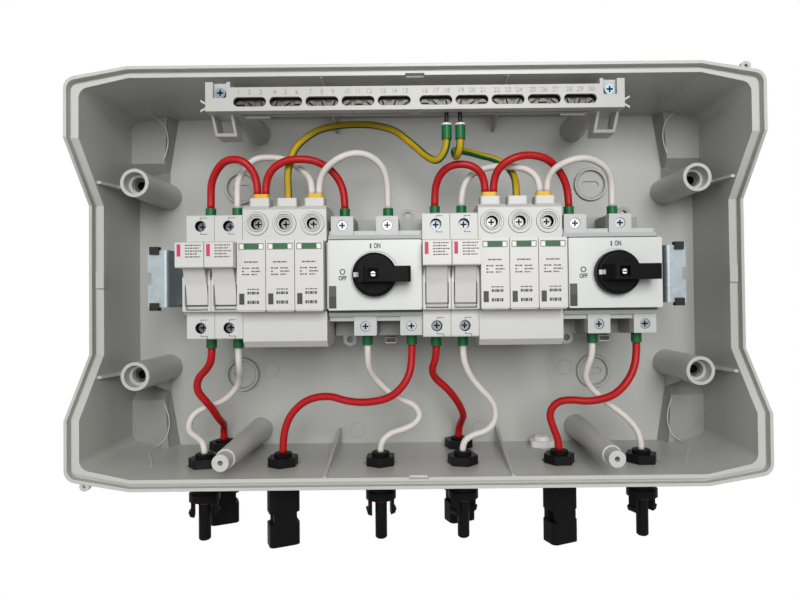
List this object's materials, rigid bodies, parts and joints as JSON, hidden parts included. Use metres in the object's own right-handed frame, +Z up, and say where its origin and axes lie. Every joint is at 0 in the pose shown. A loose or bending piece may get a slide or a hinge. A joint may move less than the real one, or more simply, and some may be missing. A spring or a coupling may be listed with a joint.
{
  "type": "solar combiner box",
  "caption": "Open wall-mounted plastic case with fuse holders, surge protectors and rotary isolators on a rail, an earth bar and panel connectors below.",
  "frame": {"origin": "centre of the four wall fixings, on the wall's plane", "axes": "+X to the right, +Z up, +Y into the wall"},
  "size_m": [0.448, 0.112, 0.315],
  "materials": {
    "case_plastic": "fine-grained light warm grey moulded plastic",
    "zinc_sheet": "galvanised sheet with a faint spangle",
    "black_plastic": "black moulded clips",
    "zinc_screws": "zinc plated",
    "fuse_plastic": "off-white moulded",
    "carrier_plastic": "off-white moulded",
    "fuse_barrel": "glazed ceramic barrel with plated caps",
    "contact_metal": "tin plated",
    "terminal_screws": "zinc plated, crossed slots",
    "surge_plastic": "off-white moulded",
    "cartridge_plastic": "off-white moulded with a green window",
    "switch_plastic": "pale grey moulded",
    "switch_face_plastic": "smooth white",
    "knob_plastic": "glossy black",
    "spindle_steel": "turned steel",
    "latch_plastic": "pale grey moulded",
    "earth_carrier_plastic": "light grey moulded",
    "busbar_brass": "plain brass",
    "earth_screw_metal": "nickel plated",
    "connector_plastic": "black moulded",
    "seal_rubber": "dark red seal rings",
    "nut_plastic": "black moulded",
    "vent_plastic": "milky white",
    "ferrule_collar": "green insulating collars",
    "twin_collar": "yellow insulating collars",
    "red_insulation": "smooth red cable sheath",
    "white_insulation": "smooth white cable sheath",
    "earth_insulation": "yellow with a green stripe"
  },
  "bodies": {
    "case": {"base_shell": "case_plastic", "din_rail": "zinc_sheet", "rail_bracket_left": "zinc_sheet", "rail_bracket_right": "zinc_sheet", "bracket_clips": "black_plastic", "bracket_screws": "zinc_screws", "fuse_base_1": "fuse_plastic", "fuse_base_2": "fuse_plastic", "fuse_base_3": "fuse_plastic", "fuse_base_4": "fuse_plastic", "fuse_contacts": "contact_metal", "fuse_terminal_screws": "terminal_screws", "surge_base_1": "surge_plastic", "switch_body_1": "switch_plastic", "switch_face_1": "switch_face_plastic", "surge_base_2": "surge_plastic", "switch_body_2": "switch_plastic", "switch_face_2": "switch_face_plastic", "surge_terminal_screws": "terminal_screws", "switch_terminal_screws": "terminal_screws", "earth_bar_carrier": "earth_carrier_plastic", "earth_busbar": "busbar_brass", "earth_bar_screws": "earth_screw_metal", "earth_carrier_screws": "zinc_screws", "panel_sockets": "connector_plastic", "panel_plugs": "connector_plastic", "plug_seals": "seal_rubber", "connector_nuts": "nut_plastic", "vent_plug": "vent_plastic", "ferrules": "ferrule_collar", "twin_ferrules": "twin_collar", "upper_red_links": "red_insulation", "upper_white_links": "white_insulation", "earth_wires": "earth_insulation", "lower_red_wires_1": "red_insulation", "lower_white_wires_1": "white_insulation", "lower_red_wires_2": "red_insulation", "lower_white_wires_2": "white_insulation"},
    "fuse_drawer_1": {"fuse_carrier_1": "carrier_plastic", "fuse_link_1": "fuse_barrel"},
    "fuse_drawer_2": {"fuse_carrier_2": "carrier_plastic", "fuse_link_2": "fuse_barrel"},
    "fuse_drawer_3": {"fuse_carrier_3": "carrier_plastic", "fuse_link_3": "fuse_barrel"},
    "fuse_drawer_4": {"fuse_carrier_4": "carrier_plastic", "fuse_link_4": "fuse_barrel"},
    "cartridge_1": {"surge_cartridge_1": "cartridge_plastic"},
    "cartridge_2": {"surge_cartridge_2": "cartridge_plastic"},
    "cartridge_3": {"surge_cartridge_3": "cartridge_plastic"},
    "cartridge_4": {"surge_cartridge_4": "cartridge_plastic"},
    "cartridge_5": {"surge_cartridge_5": "cartridge_plastic"},
    "cartridge_6": {"surge_cartridge_6": "cartridge_plastic"},
    "handle_1": {"switch_handle_1": "knob_plastic", "switch_spindle_1": "spindle_steel"},
    "latch_1": {"switch_rail_latch_1": "latch_plastic"},
    "handle_2": {"switch_handle_2": "knob_plastic", "switch_spindle_2": "spindle_steel"},
    "latch_2": {"switch_rail_latch_2": "latch_plastic"}
  },
  "joints": [
    {"name": "fuse_drawer_1_tilt", "type": "hinge", "parent": "case", "child": "fuse_drawer_1", "pos_m": [-0.137, -0.09, -0.0185], "axis": [1, 0, 0], "range_deg": [0, 80]},
    {"name": "fuse_drawer_2_tilt", "type": "hinge", "parent": "case", "child": "fuse_drawer_2", "pos_m": [-0.1192, -0.09, -0.0185], "axis": [1, 0, 0], "range_deg": [0, 80]},
    {"name": "fuse_drawer_3_tilt", "type": "hinge", "parent": "case", "child": "fuse_drawer_3", "pos_m": [0.0124, -0.09, -0.0185], "axis": [1, 0, 0], "range_deg": [0, 80]},
    {"name": "fuse_drawer_4_tilt", "type": "hinge", "parent": "case", "child": "fuse_drawer_4", "pos_m": [0.0302, -0.09, -0.0185], "axis": [1, 0, 0], "range_deg": [0, 80]},
    {"name": "cartridge_1_pull", "type": "slide", "parent": "case", "child": "cartridge_1", "axis": [0, -1, 0], "range_m": [0, 0.05]},
    {"name": "cartridge_2_pull", "type": "slide", "parent": "case", "child": "cartridge_2", "axis": [0, -1, 0], "range_m": [0, 0.05]},
    {"name": "cartridge_3_pull", "type": "slide", "parent": "case", "child": "cartridge_3", "axis": [0, -1, 0], "range_m": [0, 0.05]},
    {"name": "cartridge_4_pull", "type": "slide", "parent": "case", "child": "cartridge_4", "axis": [0, -1, 0], "range_m": [0, 0.05]},
    {"name": "cartridge_5_pull", "type": "slide", "parent": "case", "child": "cartridge_5", "axis": [0, -1, 0], "range_m": [0, 0.05]},
    {"name": "cartridge_6_pull", "type": "slide", "parent": "case", "child": "cartridge_6", "axis": [0, -1, 0], "range_m": [0, 0.05]},
    {"name": "handle_1_turn", "type": "hinge", "parent": "case", "child": "handle_1", "pos_m": [-0.026, -0.095, 0], "axis": [0, 1, 0], "range_deg": [0, 90]},
    {"name": "handle_2_turn", "type": "hinge", "parent": "case", "child": "handle_2", "pos_m": [0.1234, -0.095, 0], "axis": [0, 1, 0], "range_deg": [0, 90]},
    {"name": "latch_1_slide", "type": "slide", "parent": "case", "child": "latch_1", "axis": [0, 0, -1], "range_m": [0, 0.003], "stiffness_N_per_m": 200, "springref_m": -0.002},
    {"name": "latch_2_slide", "type": "slide", "parent": "case", "child": "latch_2", "axis": [0, 0, -1], "range_m": [0, 0.003], "stiffness_N_per_m": 200, "springref_m": -0.002}
  ]
}
